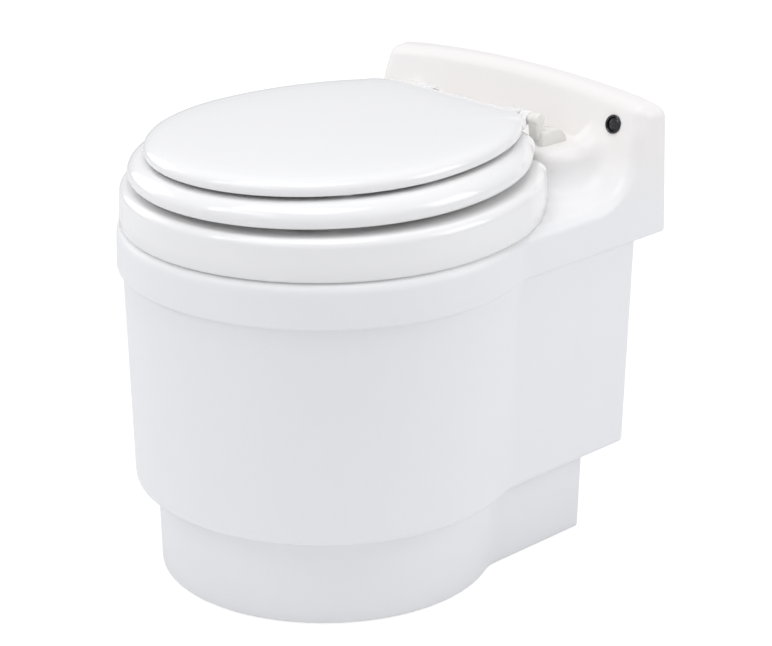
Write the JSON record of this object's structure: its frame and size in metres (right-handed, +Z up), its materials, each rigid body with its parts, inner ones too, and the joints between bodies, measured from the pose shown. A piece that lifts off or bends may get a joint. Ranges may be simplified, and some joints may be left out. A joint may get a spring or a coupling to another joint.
{
  "type": "dry flush toilet",
  "caption": "Free-standing white dry-flush toilet for cabins and campers: a film cartridge and waste bucket in a moulded shell, with a seat, lid and flush button",
  "frame": {"origin": "middle of the outline on the floor, under the toilet", "axes": "+X to the right of a person who faces the toilet, +Y to the back panel, +Z up"},
  "size_m": [0.4258, 0.5288, 0.483],
  "materials": {
    "shell_white": "satin cool white moulded plastic",
    "seat_white": "glossy bright white plastic",
    "hinge_ivory": "satin ivory plastic",
    "bumper_white": "soft white rubber",
    "grey_plastic": "light grey moulded plastic",
    "gear_plastic": "natural acetal",
    "cartridge_plastic": "pale grey moulded plastic",
    "silver_film": "silvery coated film",
    "seal_rubber": "dark grey rubber",
    "black_plastic": "black moulded plastic",
    "button_black": "glossy black plastic",
    "filter_black": "activated carbon mat",
    "strap_black": "woven black strap",
    "steel": "zinc-plated steel",
    "brass": "bright brass",
    "board_green": "green solder-masked board",
    "chip_black": "dark moulded components",
    "wire_red": "red wire insulation"
  },
  "bodies": {
    "base": {"outer_shell": "shell_white", "base_plate": "shell_white", "rubber_feet": "seal_rubber", "base_screws": "steel", "service_cover": "shell_white", "cover_screws": "steel", "vent_grille": "grey_plastic", "carbon_filter": "filter_black", "power_inlet": "black_plastic", "inlet_contact": "brass", "fuse_holder": "black_plastic", "fuse_cap": "black_plastic", "waste_bucket": "grey_plastic", "bucket_seal": "seal_rubber", "cradle_plate": "grey_plastic", "cradle_posts": "steel", "frame_screws": "steel", "glide_pads": "gear_plastic", "gearbox": "steel", "drive_motor": "steel", "motor_screws": "steel", "blower_housing": "black_plastic", "blower_cover": "black_plastic", "blower_posts": "steel", "blower_motor": "steel", "suction_duct": "grey_plastic", "exhaust_duct": "grey_plastic", "battery": "black_plastic", "battery_terminals": "steel", "battery_tray": "grey_plastic", "battery_strap": "strap_black", "control_board": "board_green", "board_standoffs": "brass", "board_parts": "chip_black", "wire_harness": "wire_red", "button_bezel": "button_black", "button_switch": "black_plastic", "button_nut": "steel", "bowl_ring": "seat_white", "ring_seal": "bumper_white", "hinge_posts": "hinge_ivory", "hinge_pins": "steel", "hinge_bolts": "steel", "hinge_nuts": "black_plastic", "hinge_caps": "hinge_ivory"},
    "turntable": {"turntable": "grey_plastic", "ring_gear": "gear_plastic", "gear_screws": "steel", "cartridge_case": "cartridge_plastic", "cartridge_cover": "cartridge_plastic", "film_pack": "silver_film", "film_liner": "silver_film"},
    "pinion": {"drive_pinion": "gear_plastic", "motor_shaft": "steel"},
    "impeller": {"impeller": "black_plastic"},
    "button": {"button_cap": "button_black"},
    "seat": {"seat": "seat_white", "seat_bumpers": "bumper_white"},
    "lid": {"lid": "seat_white", "lid_bumpers": "bumper_white"}
  },
  "joints": [
    {"name": "seat_hinge", "type": "hinge", "parent": "base", "child": "seat", "pos_m": [0, 0.1685, 0.452], "axis": [-1, 0, 0], "range_deg": [0, 95]},
    {"name": "lid_hinge", "type": "hinge", "parent": "seat", "child": "lid", "pos_m": [0, 0.1685, 0.452], "axis": [1, 0, 0], "range_deg": [-96, 0]},
    {"name": "button_press", "type": "slide", "parent": "base", "child": "button", "axis": [0, 0.9659, -0.2588], "range_m": [0, 0.003], "stiffness_N_per_m": 1000},
    {"name": "turntable_spin", "type": "hinge", "parent": "base", "child": "turntable", "pos_m": [0, -0.0515, 0.28], "axis": [0, 0, 1], "continuous": true},
    {"name": "pinion_spin", "type": "hinge", "parent": "base", "child": "pinion", "pos_m": [0, 0.12285, 0.28], "axis": [0, 0, 1], "continuous": true},
    {"name": "impeller_spin", "type": "hinge", "parent": "base", "child": "impeller", "pos_m": [-0.092, 0.16935, 0.20836], "axis": [0, 0.9997, -0.0262], "continuous": true}
  ],
  "couplings": [
    {"joint": "pinion_spin", "follows": "turntable_spin", "ratio": -6.25}
  ]
}
